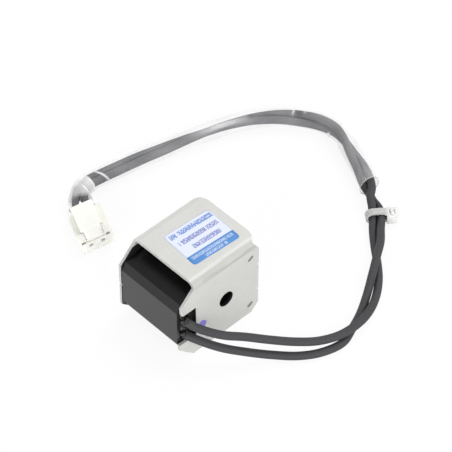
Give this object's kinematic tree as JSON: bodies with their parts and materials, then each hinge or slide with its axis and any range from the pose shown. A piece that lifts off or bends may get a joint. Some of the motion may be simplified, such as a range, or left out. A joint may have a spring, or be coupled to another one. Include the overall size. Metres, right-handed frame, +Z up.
{
  "type": "reversing valve coil",
  "caption": "Solenoid coil in a folded steel yoke with a bore for a valve tube, and a sleeved pair of leads that ends in a latched connector.",
  "frame": {"origin": "centre of the coil's base on the table, without the leads", "axes": "+Z up, +Y along the coil's axis towards the side the valve tube enters from, +X away from the lead notch"},
  "size_m": [0.1234, 0.1243, 0.0359],
  "materials": {
    "zinc_sheet": "satin zinc plate",
    "flux_steel": "bare rolled steel",
    "bobbin_resin": "moulded resin",
    "copper": "enamelled copper wire",
    "tape": "polyester tape",
    "black_moulding": "fine matte moulding",
    "tinned_brass": "tinned",
    "fibre_tube": "woven tube",
    "lead_skin": "smooth soft sheen",
    "clear_film": "clear thin tube",
    "tie_nylon": "translucent nylon",
    "white_nylon": "satin nylon",
    "label_paper": "coated paper"
  },
  "bodies": {
    "coil": {"yoke": "zinc_sheet", "flux_sleeve": "flux_steel", "bobbin": "bobbin_resin", "winding": "copper", "winding_tape": "tape", "coil_moulding": "black_moulding", "winding_tail_upper": "copper", "winding_tail_lower": "copper", "splice_upper": "tinned_brass", "splice_lower": "tinned_brass", "splice_cover_upper": "fibre_tube", "splice_cover_lower": "fibre_tube", "strands_coil_end": "tinned_brass", "lead_upper": "lead_skin", "lead_lower": "lead_skin", "clear_sleeve": "clear_film", "cable_tie": "tie_nylon", "connector_housing": "white_nylon", "contact_left": "tinned_brass", "contact_right": "tinned_brass", "strands_plug_end": "tinned_brass", "label": "label_paper"},
    "latch": {"latch_lever": "white_nylon"}
  },
  "joints": [
    {"name": "latch_press", "type": "hinge", "parent": "coil", "child": "latch", "pos_m": [-0.00391, 0.04687, 0.00727], "axis": [-0.8924, 0.3862, -0.2334], "range_deg": [0, 4.5], "stiffness_Nm_per_rad": 0.2}
  ]
}
